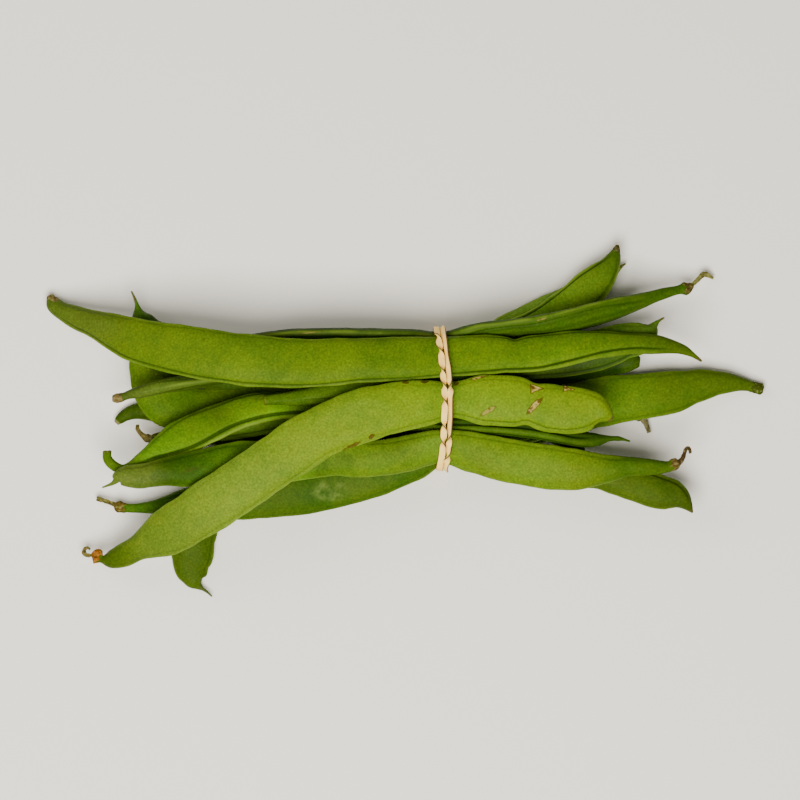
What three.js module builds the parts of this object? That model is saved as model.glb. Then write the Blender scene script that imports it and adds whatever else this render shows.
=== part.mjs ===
// A tied bunch of flat runner bean pods, lying down, with a rubber band wound round it twice.
// Millimetres, +Z up. X runs along the bunch, Y across it, and the bunch rests on Z = 0.
// Each pod grew as one piece, so its stalk, calyx, body and beak are one closed solid.

import * as THREE from "three";

// Sizes that all pods share
const POD_HALF_THICKNESS = 2.7;
const NECK_ROUNDNESS = 0.85; // half thickness of a neck, stalk or beak, as a share of its half width
const RINGS_PER_STRETCH = 2; // rings of the solid for each stretch between two stations

// How the pods lie
const POD_CLEARANCE = 0.35;
const FLOOR_PRESS = 0.25; // the lowest pods are pressed flat by this much where they touch the floor
const SAG = 8e-6; // weight over bending stiffness of a pod, per cubic millimetre
const WAIST_SQUEEZE = 40; // how much harder the band presses than the pods' own weight
const WAIST_X = 15;
const WAIST_HALF_LENGTH = 6;
const BEAM_STEP = 10;
const BEAM_SWEEPS = 30000;
const BEAM_OVERSHOOT = 1.7;

// The rubber band: one loop, wound twice, with its two turns twisted round each other
const STRAND_HALF_WIDTH = 1.15;
const STRAND_HALF_THICKNESS = 0.4;
const STRAND_SIDE_OFFSET = 1.25;
const STRAND_LIFT_OFFSET = 0.5;
const BAND_HALF_TWISTS = 7; // odd, so that one turn leads into the other
const BAND_CLEARANCE = 0.35;
const BAND_RINGS_A_TURN = 48;
const BAND_SIDES = 8;
const BAND_CREST_X = 16.3; // where the band crosses the top of the bunch
const BAND_CREST_Y = 5;
const BAND_BOW = 0.0033; // how far it runs off to the left away from there, per square millimetre
const BAND_REACH = 3.2; // the band bears on the pods this far to either side of the waist
const BAND_ROOM = 2 * (STRAND_HALF_THICKNESS + STRAND_LIFT_OFFSET) + BAND_CLEARANCE + 0.15;

// The section of a pod, in half widths and half thicknesses: a flat lens between its two seams
const SECTION = [
  [1, 0],
  [0.86, 0.52],
  [0.44, 0.96],
  [-0.44, 0.96],
  [-0.86, 0.52],
  [-1, 0],
  [-0.86, -0.52],
  [-0.44, -0.96],
  [0.44, -0.96],
  [0.86, -0.52],
];

// The pods, from the lowest to the highest. Each lies on the ones before it.
// A station is [x, y, half width, roll in degrees], from the stalk to the beak, seen from above.
// A positive roll lifts the side on the left hand of someone who walks from stalk to beak.
const PODS = [
  {
    name: "pod_floor",
    colour: 0x5a7d1c,
    stations: [
      [93.1, -4.3, 0.8, 0], [92.1, -1.6, 0.9, 0], [90.6, 1.1, 1.7, 0], [88, 2.1, 1.9, 0],
      [81.9, 3.4, 4.2, 0], [70.5, 3, 6.1, 0], [55.3, -0.5, 6.8, 0], [36.3, -5.5, 6.8, 0],
      [14.6, -9, 6.5, 0], [-13.1, -9.5, 6.8, 0], [-39.7, -8, 6.8, 0], [-62.5, -5, 6.5, 0],
      [-79.6, -1, 5.3, 0], [-92.9, 2.6, 3.6, 0], [-101.2, 3.8, 3.1, 0], [-106, 2.4, 2.4, 0],
      [-108.7, 0.4, 1.8, 0], [-109.9, -0.9, 1, 0],
    ],
  },
  {
    name: "pod_swept",
    colour: 0x6e9420,
    stations: [
      [136.8, 11.8, 1.3, 0], [135.8, 12.1, 2, 0], [133.3, 12.8, 1.9, 0], [130.9, 13.5, 2.2, 0],
      [126.7, 14.3, 3, 0], [119.9, 14.5, 4.5, 0], [112.3, 13.6, 6.2, 0], [103.2, 11.3, 7.8, 0],
      [89.5, 9.3, 8.7, 0], [74.3, 7.4, 9.4, 0], [59.1, 3.8, 8.7, 0], [40.1, -2, 8, 0],
      [17, -8.3, 7, 0], [-3.6, -14, 7.4, 0], [-26.4, -20.5, 7.6, 0], [-46, -24, 7.8, 0],
      [-60, -25, 8, 0], [-70.5, -28.5, 8.2, 0], [-77.5, -35, 8.4, 0], [-80.7, -43.5, 8.9, 0],
      [-80.9, -51.4, 7.9, 0], [-81.1, -56, 6.6, 0], [-80.4, -59.2, 5.3, 0], [-79.8, -61.3, 3.6, 0],
      [-78.5, -62.9, 1.6, 0], [-77, -64, 0.7, 0], [-75.2, -65.2, 0.5, 0], [-73.4, -66.9, 0.3, 0],
    ],
  },
  {
    name: "pod_low_middle",
    colour: 0x5f8020,
    stations: [
      [89.5, 22.4, 1.9, 0], [85.7, 22.8, 4.1, 0], [78.1, 23, 5.5, 0], [62.9, 21.5, 6.8, 0],
      [40.1, 16, 7, 0], [14.6, 7.5, 6.8, 0], [-13.1, 6.5, 7.4, 0], [-39.7, 6.5, 8, 0],
      [-62.5, 4.5, 8.4, 0], [-77.7, 4, 8.4, 0], [-89.8, 6.7, 8.9, 0], [-95.8, 11.4, 7.7, 0],
      [-99, 18, 5.5, 0], [-100.2, 24.5, 4.2, 0], [-100.5, 29, 1.6, 0],
    ],
  },
  {
    name: "pod_low_back",
    colour: 0x6a8f1e,
    stations: [
      [-101.4, -1.4, 0.5, 0], [-101.5, -3, 0.8, 0], [-99.9, -5.1, 0.9, 0], [-98, -6.4, 1.6, 0],
      [-95.3, -6.7, 1.8, 0], [-91.4, -5.7, 2, 0], [-79.6, -4, 4, 0], [-58.7, 0, 6, -5],
      [-32.1, 7.5, 7, -5], [-9.3, 15.5, 7, -5], [14.6, 21.5, 6.6, -5], [30.6, 28.2, 7.2, -8],
      [45.2, 36.4, 7.1, -10], [63.4, 44.9, 6.8, -8], [73.6, 51.2, 3.9, -5], [79.2, 55.9, 1.8, 0],
      [82.4, 58.7, 0.7, 0], [84.3, 60, 0.3, 0],
    ],
  },
  {
    name: "pod_back",
    colour: 0x6f9422,
    stations: [
      [81.1, 66.9, 0.6, 0], [79.6, 61.9, 3, 5], [76.6, 57, 5.1, 8], [70.8, 50.9, 6.9, 10],
      [61.3, 43.1, 6.9, 12], [49, 34.5, 7.2, 12], [32.5, 28.7, 7, 8], [14.6, 21, 6.6, 5],
      [-9.3, 23, 7.4, 5], [-35.9, 24.5, 8, 5], [-60.6, 21.5, 9, 0], [-79.2, 22.2, 9.6, 0],
      [-90.2, 26.6, 9.5, 0], [-97.8, 34.5, 5.8, 0], [-100.2, 38.4, 4.3, 0], [-101.1, 40.8, 2.5, 0],
      [-101.5, 42.6, 1.3, 0], [-101.9, 44.6, 0.7, 0], [-102.8, 47, 0.5, 0], [-103.9, 49.4, 0.3, 0],
    ],
  },
  {
    name: "pod_slim",
    colour: 0x7c9a3a,
    stations: [
      [-110.9, 8.6, 1.2, -60], [-110, 8.6, 1.9, -60], [-108.3, 8.8, 2, -60],
      [-106.6, 9.3, 1.7, -65], [-103.7, 10.3, 2.1, -75], [-101.3, 10.8, 2.7, -80],
      [-92.9, 12.9, 3.4, -85], [-79.2, 15.2, 5.3, -85], [-58.7, 19.5, 5.5, -60],
      [-32.1, 18.5, 5.5, -30], [-1.7, 11, 5.4, -10], [14.6, 8.5, 5.2, -5], [36.3, 4, 5, -20],
      [53.4, -3.8, 3.6, -45], [62.9, -9.1, 2.4, -60], [68.2, -11.4, 1.2, -60],
    ],
  },
  {
    name: "pod_under_front",
    colour: 0x6c921f,
    stations: [
      [-117.2, -29.6, 0.9, 0], [-113.8, -30.6, 0.8, 0], [-110.8, -31.7, 0.9, 0],
      [-108.9, -32.5, 2.1, 0], [-106.2, -33.1, 1.7, 0], [-102, -33.2, 1.8, 0],
      [-94.8, -32.7, 2.7, 0], [-81.5, -31, 5.6, 5], [-62.1, -29.3, 8.3, 8], [-37.8, -26.4, 9.1, 8],
      [-14.2, -20.8, 8.9, 6], [2.9, -15.2, 7.7, 3], [15.5, -10.2, 5.8, 0], [30.3, -13, 6.6, 0],
      [57.2, -17.5, 6.5, 3], [75, -19.7, 6.6, 5], [87.2, -23.8, 6.5, 3], [97, -27, 6.6, 0],
      [101.5, -27.9, 5.8, 0], [105, -29.5, 4.2, 0], [107.3, -31.7, 2.5, 0], [108.8, -33.7, 1.1, 0],
      [109.6, -34.9, 0.3, 0],
    ],
  },
  {
    name: "pod_hooked",
    colour: 0x7a9c1c,
    stations: [
      [-113, -11.4, 1.5, 0], [-112.9, -14.2, 1.8, 0], [-110.6, -16.9, 1.9, 0],
      [-107, -18.3, 1.8, 0], [-103.2, -17, 2.2, 0], [-98.8, -14.2, 3.1, -8],
      [-93.6, -11.1, 4.8, -16], [-82.7, -5.5, 7.6, -24], [-69.3, 0.6, 7.1, -30],
      [-56.4, 4.8, 6.7, -32], [-39.7, 5.6, 5.8, -40], [-20.7, 3.4, 5.4, -52], [-1.7, 0.3, 4.8, -64],
      [14.6, -1.3, 4.6, -70], [28.7, -1.8, 4.6, -72], [44.3, -3, 4.8, -72], [56.4, -4.9, 4.7, -72],
      [65.5, -6.8, 4, -70], [72.8, -7.2, 2.8, -60], [76.2, -6.8, 1.6, -45], [79.4, -6.6, 0.9, -20],
      [82.8, -6.9, 0.6, 0], [85.6, -7.7, 0.3, 0],
    ],
  },
  {
    name: "pod_short",
    colour: 0x6d9220,
    stations: [
      [-53.4, 7.8, 1.6, -10], [-49.2, 8.2, 2.2, -15], [-42.4, 8.7, 2.9, -20],
      [-32.1, 10.3, 3.8, -20], [-18.8, 12.9, 5.7, -15], [-1.7, 16.7, 6.8, -10], [14.6, 19, 6.6, -8],
      [36.3, 22.4, 7.2, -5], [59.1, 24.3, 7.6, 0], [74.3, 27.2, 7.6, 0], [83, 30.3, 7.1, 0],
      [88.5, 31.4, 6.1, 0], [92, 33.1, 4.9, 0], [94, 34.9, 2.9, 0], [95, 36.4, 1.4, 0],
      [96.6, 38, 0.6, 0], [98.7, 39.3, 0.3, 0],
    ],
  },
  {
    name: "pod_back_edge",
    colour: 0x648a22,
    stations: [
      [117.6, 54.4, 0.4, 0], [114.3, 56, 1.1, 0], [112, 54.1, 0.8, 0], [109.6, 51.9, 0.9, 0],
      [107.7, 50.7, 2.1, 0], [104.7, 50, 1.8, -20], [98.6, 48.5, 2.3, -40], [89.5, 45.6, 3.4, -52],
      [78.8, 42.4, 5.6, -50], [63.6, 38.5, 6.3, -54], [47.7, 36.1, 6, -66], [30.6, 34.6, 5.6, -72],
      [24, 33.2, 5.3, -74], [14.5, 31, 5.1, -76], [4, 31.9, 5.3, -76], [-13.1, 32.2, 5.6, -76],
      [-37.8, 32.2, 5.6, -74], [-54.1, 30.6, 4.9, -70], [-67.1, 28, 2.3, -60],
      [-73.2, 25.8, 0.6, -50],
    ],
  },
  {
    name: "pod_front",
    colour: 0x6f9520,
    stations: [
      [108.6, -12.2, 0.5, 0], [108, -10.4, 0.7, 0], [107, -10.5, 0.7, 0], [106, -13.3, 0.8, 0],
      [104.7, -15.4, 1.1, 0], [103.2, -16.1, 2.1, 0], [100.1, -17.3, 2.1, 0], [94, -17.5, 3, 0],
      [84.9, -17.3, 3.8, -5], [76.6, -18.1, 5.3, -8], [66.6, -18.5, 7.7, -8],
      [55.3, -17.6, 8.4, -8], [38.2, -14.8, 8.3, -8], [23, -11.2, 7.6, -16], [13.5, -9.5, 6.6, -20],
      [2.1, -12.1, 7, -16], [-11.2, -14.2, 7, -8], [-28.3, -13.4, 7.6, -5], [-47.3, -15.4, 8, 0],
      [-64.4, -16.3, 8.2, 0], [-77.7, -18.1, 7, 0], [-91, -19.4, 5.3, 0], [-99.4, -20.9, 4.6, 0],
      [-105.2, -21, 4, 0], [-107.8, -21.3, 3.3, 0], [-109, -21.7, 2.5, 0], [-109.6, -22.6, 1.3, 0],
      [-110.7, -23.6, 0.8, 0], [-112.5, -24.4, 0.5, 0], [-114.7, -25.2, 0.3, 0],
    ],
  },
  {
    name: "pod_crest",
    colour: 0x82a51a,
    stations: [
      [-135.2, 47.9, 1.1, 0], [-134.5, 46.2, 2.2, 0], [-133.5, 44.4, 3, 0], [-131, 42.3, 3.3, 0],
      [-124.6, 39.3, 4.4, 0], [-119.5, 37.5, 5, 0], [-112, 34.6, 6.5, 0], [-101.3, 30.5, 8.4, -2],
      [-83.4, 26.8, 9.5, -4], [-62.5, 23.5, 9.8, -5], [-39.7, 21.9, 9.3, -6],
      [-20.7, 22.8, 8.6, -8], [-1.7, 23.6, 8.4, -12], [13.5, 24.3, 7.9, -14], [36, 25.3, 7.5, -16],
      [41.9, 24.7, 6.6, -17], [47.5, 25.5, 7.1, -18], [53.4, 26.2, 7.2, -20],
      [68.6, 28.6, 6.4, -24], [82.3, 29.3, 4.5, -26], [95.2, 29.1, 3.8, -20],
      [104.6, 27.5, 2.1, -10], [109, 25.4, 1.1, 0], [112.7, 22.8, 0.4, 0],
    ],
  },
  {
    name: "pod_pale",
    colour: 0x94ae36,
    stations: [
      [-119.8, -48.9, 0.3, 0], [-120.7, -48.3, 0.5, 0], [-121.7, -48.7, 0.6, 0],
      [-122.1, -49.9, 0.8, 0], [-121.5, -50.9, 0.8, 0], [-120.3, -51.2, 0.7, 0],
      [-118.9, -51.1, 0.9, 0], [-117.9, -51.2, 2.2, 0], [-117, -51.5, 2.9, 0],
      [-116.2, -52, 2.1, 0], [-115.1, -52.6, 1.5, 0], [-113.8, -52.8, 2.3, 0],
      [-111.9, -52.7, 3.3, 0], [-108.1, -51.6, 4.1, 0], [-100.5, -47.7, 5.3, 0], [-89.7, -42, 9, 0],
      [-77.7, -34.6, 9.7, 0], [-65.5, -26.6, 10.1, 0], [-54.1, -18.8, 9.7, 0],
      [-43.5, -11.4, 10.1, 0], [-32.1, -4.4, 9.7, 0], [-19.6, 0.9, 10.1, 0], [-5.5, 4.8, 9.7, 0],
      [9.7, 7.1, 8.3, 0], [19.2, 8.1, 6.8, 0], [30.2, 8, 9.5, 0], [42.4, 7.4, 9.6, 0],
      [47.7, 6.5, 7.9, 0], [52.4, 5.5, 8.7, 0], [56.6, 4.7, 9.2, 0], [61.8, 4.2, 9.1, 0],
      [67.6, 4.1, 8.3, 0], [72.3, 4.1, 6.5, 0], [75.3, 3.1, 4.4, 0], [77.3, 1.6, 2.4, 0],
      [78.6, 0.2, 0.9, 0],
    ],
  },
];

// The height of what lies below, on a square grid seen from above
class HeightField {
  constructor() {
    this.cell = 0.4;
    this.columns = 720;
    this.rows = 380;
    this.heights = new Float32Array(this.columns * this.rows).fill(-FLOOR_PRESS);
    for (let row = 0; row < this.rows; row += 1) {
      for (let column = 0; column < this.columns; column += 1) {
        const x = (column - this.columns / 2) * this.cell;
        if (Math.abs(x - WAIST_X) < WAIST_HALF_LENGTH) {
          this.heights[row * this.columns + column] = BAND_ROOM - POD_CLEARANCE;
        }
      }
    }
  }

  index(x, y) {
    const column = Math.round(x / this.cell + this.columns / 2);
    const row = Math.round(y / this.cell + this.rows / 2);
    return row * this.columns + column;
  }

  raise(point) {
    const at = this.index(point.x, point.y);
    this.heights[at] = Math.max(this.heights[at], point.z);
  }

  under(x, y) {
    const at = this.index(x, y);
    const near = [at, at - 1, at + 1, at - this.columns, at + this.columns];
    const highest = Math.max(...near.map((cell) => this.heights[cell]));
    return highest > 0 ? highest + POD_CLEARANCE : highest;
  }
}

// A pod's plan as smooth curves: where its middle runs, and its half width and roll
class PodPlan {
  constructor(stations) {
    this.stretches = stations.length - 1;
    this.middle = new THREE.CatmullRomCurve3(stations.map(([x, y]) => new THREE.Vector3(x, y, 0)));
    this.form = new THREE.CatmullRomCurve3(
      stations.map(([, , half, roll]) => new THREE.Vector3(half, roll, 0)),
    );
  }

  // The outline of the pod's section at a share of its length, as offsets from the middle
  ring(share) {
    const middle = this.middle.getPoint(share);
    const along = this.middle.getTangent(share);
    const across = new THREE.Vector3(-along.y, along.x, 0).normalize();
    const { x: width, y: roll } = this.form.getPoint(share);
    const halfWidth = Math.max(width, 0.3);
    const halfThickness = Math.min(POD_HALF_THICKNESS, NECK_ROUNDNESS * halfWidth);
    const turn = THREE.MathUtils.degToRad(roll);
    return SECTION.map(([u, v]) => {
      const side = u * halfWidth * Math.cos(turn) - v * halfThickness * Math.sin(turn);
      const rise = u * halfWidth * Math.sin(turn) + v * halfThickness * Math.cos(turn);
      return new THREE.Vector3(middle.x, middle.y, rise).addScaledVector(across, side);
    });
  }
}

// Points spread over the wall between two rings, no further apart than the step
function* wallPoints(first, second, step) {
  for (let k = 0; k < first.length; k += 1) {
    const next = (k + 1) % first.length;
    const wide = Math.ceil(Math.max(first[k].distanceTo(first[next]) / step, 1));
    const long = Math.ceil(Math.max(first[k].distanceTo(second[k]) / step, 1));
    for (let i = 0; i <= wide; i += 1) {
      const start = first[k].clone().lerp(first[next], i / wide);
      const end = second[k].clone().lerp(second[next], i / wide);
      for (let j = 0; j <= long; j += 1) {
        yield start.clone().lerp(end, j / long);
      }
    }
  }
}

// A springy rod that sags on to what holds it up. need is the least height at each node.
function layRod(need, load) {
  const last = need.length - 1;
  const heights = need.map(() => Math.max(...need));
  for (let sweep = 0; sweep < BEAM_SWEEPS; sweep += 1) {
    for (let i = 0; i <= last; i += 1) {
      let pull = load[i];
      let stiffness = 0;
      for (let j = Math.max(1, i - 1); j <= Math.min(last - 1, i + 1); j += 1) {
        const share = j === i ? -2 : 1;
        pull += share * (heights[j - 1] - 2 * heights[j] + heights[j + 1]);
        stiffness += share * share;
      }
      heights[i] = Math.max(need[i], heights[i] - (BEAM_OVERSHOOT * pull) / stiffness);
    }
  }
  return heights;
}

// How high a pod's middle lies all along it, on what the field holds so far
function layPod(plan, field) {
  const samples = plan.stretches * 12;
  const rings = Array.from({ length: samples + 1 }, (_, i) => plan.ring(i / samples));
  const middles = Array.from({ length: samples + 1 }, (_, i) => plan.middle.getPoint(i / samples));
  const lengths = [0];
  for (let i = 1; i <= samples; i += 1) {
    lengths.push(lengths[i - 1] + middles[i].distanceTo(middles[i - 1]));
  }
  const nodes = Math.round(lengths[samples] / BEAM_STEP) + 1;
  const step = lengths[samples] / (nodes - 1);
  const need = new Array(nodes).fill(-Infinity);
  const load = new Array(nodes).fill(SAG * step ** 4);
  for (let i = 0; i < samples; i += 1) {
    const from = Math.min(Math.floor(lengths[i] / step), nodes - 2);
    for (const point of wallPoints(rings[i], rings[i + 1], 0.8)) {
      const least = field.under(point.x, point.y) - point.z;
      need[from] = Math.max(need[from], least);
      need[from + 1] = Math.max(need[from + 1], least);
    }
    if (Math.abs(middles[i].x - WAIST_X) < WAIST_HALF_LENGTH) {
      load[from] = WAIST_SQUEEZE * SAG * step ** 4;
    }
  }
  const heights = layRod(need, load);
  const lie = (length) => {
    const at = Math.min(length / step, nodes - 1.0001);
    const k = Math.floor(at);
    return THREE.MathUtils.lerp(heights[k], heights[k + 1], at - k);
  };
  const lengthAt = (share) => {
    const at = Math.min(share * samples, samples - 0.0001);
    const k = Math.floor(at);
    return THREE.MathUtils.lerp(lengths[k], lengths[k + 1], at - k);
  };
  const heightAt = (share) => lie(lengthAt(share));
  const lifted = rings.map((ring, i) => ring.map((point) => raised(point, lie(lengths[i]))));
  for (let i = 0; i < samples; i += 1) {
    for (const point of wallPoints(lifted[i], lifted[i + 1], field.cell)) {
      field.raise(point);
    }
  }
  return { heightAt, lifted };
}

function raised(point, height) {
  return new THREE.Vector3(point.x, point.y, Math.max(point.z + height, 0));
}

// A closed skin over rings of points: a tube that ends in two caps, or one that meets itself
function skin(rings, closed) {
  const sides = rings[0].length;
  const points = rings.flat();
  const faces = [];
  const bands = closed ? rings.length : rings.length - 1;
  for (let i = 0; i < bands; i += 1) {
    const here = i * sides;
    const there = ((i + 1) % rings.length) * sides;
    for (let k = 0; k < sides; k += 1) {
      const next = (k + 1) % sides;
      faces.push(here + k, there + next, there + k);
      faces.push(here + k, here + next, there + next);
    }
  }
  if (!closed) {
    const last = (rings.length - 1) * sides;
    const start = points.push(centreOf(rings[0])) - 1;
    const end = points.push(centreOf(rings[rings.length - 1])) - 1;
    for (let k = 0; k < sides; k += 1) {
      const next = (k + 1) % sides;
      faces.push(start, next, k);
      faces.push(end, last + k, last + next);
    }
  }
  const geometry = new THREE.BufferGeometry().setFromPoints(points);
  geometry.setIndex(faces);
  geometry.computeVertexNormals();
  return geometry;
}

function centreOf(ring) {
  const sum = ring.reduce((total, point) => total.add(point), new THREE.Vector3());
  return sum.divideScalar(ring.length);
}

function podGeometry(plan, heightAt) {
  const count = plan.stretches * RINGS_PER_STRETCH;
  const rings = [];
  for (let i = 0; i <= count; i += 1) {
    const share = i / count;
    rings.push(plan.ring(share).map((point) => raised(point, heightAt(share))));
  }
  return skin(rings, false);
}

// The outer hull of points in the YZ plane, anticlockwise
function hullOf(points) {
  const sorted = [...points].sort((a, b) => a.x - b.x || a.y - b.y);
  const half = (ordered) => {
    const chain = [];
    for (const point of ordered) {
      while (chain.length > 1 && turnOf(chain.at(-2), chain.at(-1), point) <= 0) {
        chain.pop();
      }
      chain.push(point);
    }
    return chain.slice(0, -1);
  };
  return [...half(sorted), ...half(sorted.reverse())];
}

function turnOf(a, b, c) {
  return (b.x - a.x) * (c.y - a.y) - (b.y - a.y) * (c.x - a.x);
}

// The band's path round the waist: evenly spaced places on the hull pushed out by a distance
function waistPath(hull, out, count) {
  const curve = [];
  for (let degree = 0; degree < 360; degree += 1) {
    const angle = THREE.MathUtils.degToRad(degree);
    const normal = new THREE.Vector2(Math.cos(angle), Math.sin(angle));
    const furthest = hull.reduce((best, point) => (point.dot(normal) > best.dot(normal) ? point : best));
    curve.push({ at: furthest.clone().addScaledVector(normal, out), normal });
  }
  curve.push(curve[0]);
  const lengths = [0];
  for (let i = 1; i < curve.length; i += 1) {
    lengths.push(lengths[i - 1] + curve[i].at.distanceTo(curve[i - 1].at));
  }
  const path = [];
  let k = 0;
  for (let i = 0; i < count; i += 1) {
    const wanted = (i / count) * lengths.at(-1);
    while (lengths[k + 1] < wanted) {
      k += 1;
    }
    const part = (wanted - lengths[k]) / Math.max(lengths[k + 1] - lengths[k], 1e-9);
    path.push({
      at: curve[k].at.clone().lerp(curve[k + 1].at, part),
      normal: curve[k].normal.clone().lerp(curve[k + 1].normal, part).normalize(),
    });
  }
  return path;
}

function bandGeometry(waistPoints) {
  const out = BAND_CLEARANCE + STRAND_HALF_THICKNESS + STRAND_LIFT_OFFSET;
  const path = waistPath(hullOf(waistPoints), out, BAND_RINGS_A_TURN);
  const rings = [];
  for (let i = 0; i < 2 * BAND_RINGS_A_TURN; i += 1) {
    const { at, normal } = path[i % BAND_RINGS_A_TURN];
    const twist = (BAND_HALF_TWISTS * Math.PI * i) / BAND_RINGS_A_TURN;
    const bow = BAND_BOW * (at.x - BAND_CREST_Y) ** 2;
    const x = BAND_CREST_X - bow + STRAND_SIDE_OFFSET * Math.cos(twist);
    const middle = at.clone().addScaledVector(normal, STRAND_LIFT_OFFSET * Math.sin(twist));
    const ring = [];
    for (let k = 0; k < BAND_SIDES; k += 1) {
      const angle = (2 * Math.PI * k) / BAND_SIDES;
      const flat = middle.clone().addScaledVector(normal, STRAND_HALF_THICKNESS * Math.sin(angle));
      ring.push(new THREE.Vector3(x + STRAND_HALF_WIDTH * Math.cos(angle), flat.x, flat.y));
    }
    rings.push(ring);
  }
  return skin(rings, true);
}

function namedMesh(name, geometry, color, roughness) {
  const material = new THREE.MeshStandardMaterial({ color, roughness, metalness: 0 });
  const mesh = new THREE.Mesh(geometry, material);
  mesh.name = name;
  return mesh;
}

const bunch = new THREE.Group();
const field = new HeightField();
const waistPoints = [];
for (const { name, colour, stations } of PODS) {
  const plan = new PodPlan(stations);
  const { heightAt, lifted } = layPod(plan, field);
  bunch.add(namedMesh(name, podGeometry(plan, heightAt), colour, 0.6));
  for (const point of lifted.flat()) {
    if (Math.abs(point.x - WAIST_X) < BAND_REACH) {
      waistPoints.push(new THREE.Vector2(point.y, point.z));
    }
  }
}
bunch.add(namedMesh("rubber_band", bandGeometry(waistPoints), 0xe1c8a5, 0.7));

// The origin is the middle of the bunch's outline, on the surface that it lies on
const middle = new THREE.Box3().setFromObject(bunch, true).getCenter(new THREE.Vector3());
bunch.position.set(-middle.x, -middle.y, 0);

export default bunch;
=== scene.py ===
# A tied bunch of flat runner bean pods on a pale table, with a twisted rubber band round its waist.
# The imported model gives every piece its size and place. Each pod is made from the rings of its
# solid, smoothed, and given its seams, seeds, dried ends and skin. Everything is in metres.

import functools
import math
import random

import bmesh
import bpy
import numpy as np
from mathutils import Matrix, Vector

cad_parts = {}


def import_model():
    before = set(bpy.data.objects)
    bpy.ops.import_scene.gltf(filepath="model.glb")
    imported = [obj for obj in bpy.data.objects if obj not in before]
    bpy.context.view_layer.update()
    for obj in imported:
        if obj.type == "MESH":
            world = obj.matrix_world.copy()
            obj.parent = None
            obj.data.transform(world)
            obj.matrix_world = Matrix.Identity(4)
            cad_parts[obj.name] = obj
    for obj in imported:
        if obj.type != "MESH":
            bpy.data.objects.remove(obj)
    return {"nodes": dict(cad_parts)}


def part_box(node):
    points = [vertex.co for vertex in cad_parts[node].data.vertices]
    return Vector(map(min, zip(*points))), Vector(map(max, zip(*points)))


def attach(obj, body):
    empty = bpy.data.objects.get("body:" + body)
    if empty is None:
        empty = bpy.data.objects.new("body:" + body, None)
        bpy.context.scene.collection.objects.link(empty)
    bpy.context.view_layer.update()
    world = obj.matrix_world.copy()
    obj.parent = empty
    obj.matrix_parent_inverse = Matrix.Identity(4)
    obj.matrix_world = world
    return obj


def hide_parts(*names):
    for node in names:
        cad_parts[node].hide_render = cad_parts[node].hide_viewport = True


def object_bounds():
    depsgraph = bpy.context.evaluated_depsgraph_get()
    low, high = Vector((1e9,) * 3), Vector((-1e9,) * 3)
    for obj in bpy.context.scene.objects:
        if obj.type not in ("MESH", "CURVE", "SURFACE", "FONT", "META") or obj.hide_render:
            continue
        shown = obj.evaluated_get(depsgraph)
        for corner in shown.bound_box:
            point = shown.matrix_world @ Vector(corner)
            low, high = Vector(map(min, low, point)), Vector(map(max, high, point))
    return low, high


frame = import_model()
CAD_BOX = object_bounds()
WAIST_X = sum(corner.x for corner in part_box("rubber_band")) / 2

bl_info = {
    "name": "Runner bean bunch",
    "version": (1, 0, 0),
    "blender": (4, 5, 0),
    "location": "View3D > Sidebar > Beans",
    "description": "Bean pods tied in a bunch with a rubber band",
    "category": "Add Mesh",
}

MM = 0.001
RING_SIDES = 10  # points in each ring of a pod's solid, from one seam round to it again
SEAM_POINTS = (0, 5)  # which of them lie on the two seams
UPPER_POINTS = (2, 3)  # which are next to the middle of the upper wall
LOWER_POINTS = (7, 8)
WALL_SHARE = 0.96  # how high those lie, as a share of the half thickness
FIT_ROUNDS = 2  # how often a cage is corrected before it is smoothed
FIT_STEP = 0.8  # how much of what smoothing takes off is given back each time
END_CREASE = 0.2  # how sharp a cage stays at its two ends
# Columns of a pod's skin between a seam and the middle, as shares of the half width
COLUMNS = (0.985, 0.955, 0.92, 0.88, 0.82, 0.72, 0.52, 0.2)

# A pod's relief
SLENDER, BROAD = 2 * MM, 5 * MM  # half widths where seams and seeds begin to show, and show in full
GROOVE_INSET, GROOVE_WIDTH = 1.15, 0.36  # mm
INSET_SWAY = 0.12  # mm
WEAK_RIM, WEAK_GROOVE = 0.5, 0.3  # the other seam's relief, as shares of the main seam's
RIM_WIDTH, RIM_LINE = 0.6 * MM, 0.4 * MM  # of the raised cord, and of the pale line on it
CROWN_REACH = 0.85  # share of the half width where the crown ends
WAIST_REACH = 5 * MM  # the crown is left out this near to the band
RIDGE_HEIGHT, RIDGE_SPACING = 0.16 * MM, 0.8 * MM
WAVE_HEIGHT, WAVE_LENGTH = 0.16 * MM, 26 * MM
PUCKER_HEIGHT, PUCKER_LENGTH = 0.07 * MM, 9 * MM
SEAM_SWAY, SWAY_LENGTH = 0.2 * MM, 15 * MM
CALYX_LOBES = 5
LOBE_LENGTH = 1.4 * MM
CALYX_HEIGHT, NECKING_DEPTH = 0.22 * MM, 0.25 * MM
STEM_SLANT = 2.4 * MM  # how much shorter a slanting stem is on its other side
WRINKLE_HEIGHT = 0.13 * MM
RIB_COUNT = 11

# The band's strands
RING_EDGE = 1.4 * MM  # the edges of a ring of the band's solid are shorter, all others are longer
BAND_STEPS = 420  # rings of points in each of the two turns
STRAND_SIDES = 16
LEFT_REACH, RIGHT_REACH = 3.3 * MM, 3.6 * MM  # half the length over which a strand turns over
CROSSING = 0.03  # half the share of the band over which its strands change places
CROSSING_LIFT, LIFT_REACH = 0.55 * MM, 0.022  # the reach is a share of the band
BEDDING = 0.5 * MM  # how far the strands lie below the middle of the band's solid

# Sizes of the skin's patterns, in noise cells a metre
PATCH_SCALE, BLOTCH_SCALE, PORE_SCALE, GRAIN_SCALE = 42, 260, 520, 1250

BUMP_DEPTH = 0.3 * MM

# The pale bloom on one pod: how its place is moved and stretched, and where it begins and is full
BLOOM_SHIFT, BLOOM_STRETCH = (29 * MM, 42.5 * MM, 0), (1, 1.6, 0)
BLOOM_EDGE, BLOOM_CORE = 8.5 * MM, 4 * MM

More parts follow.
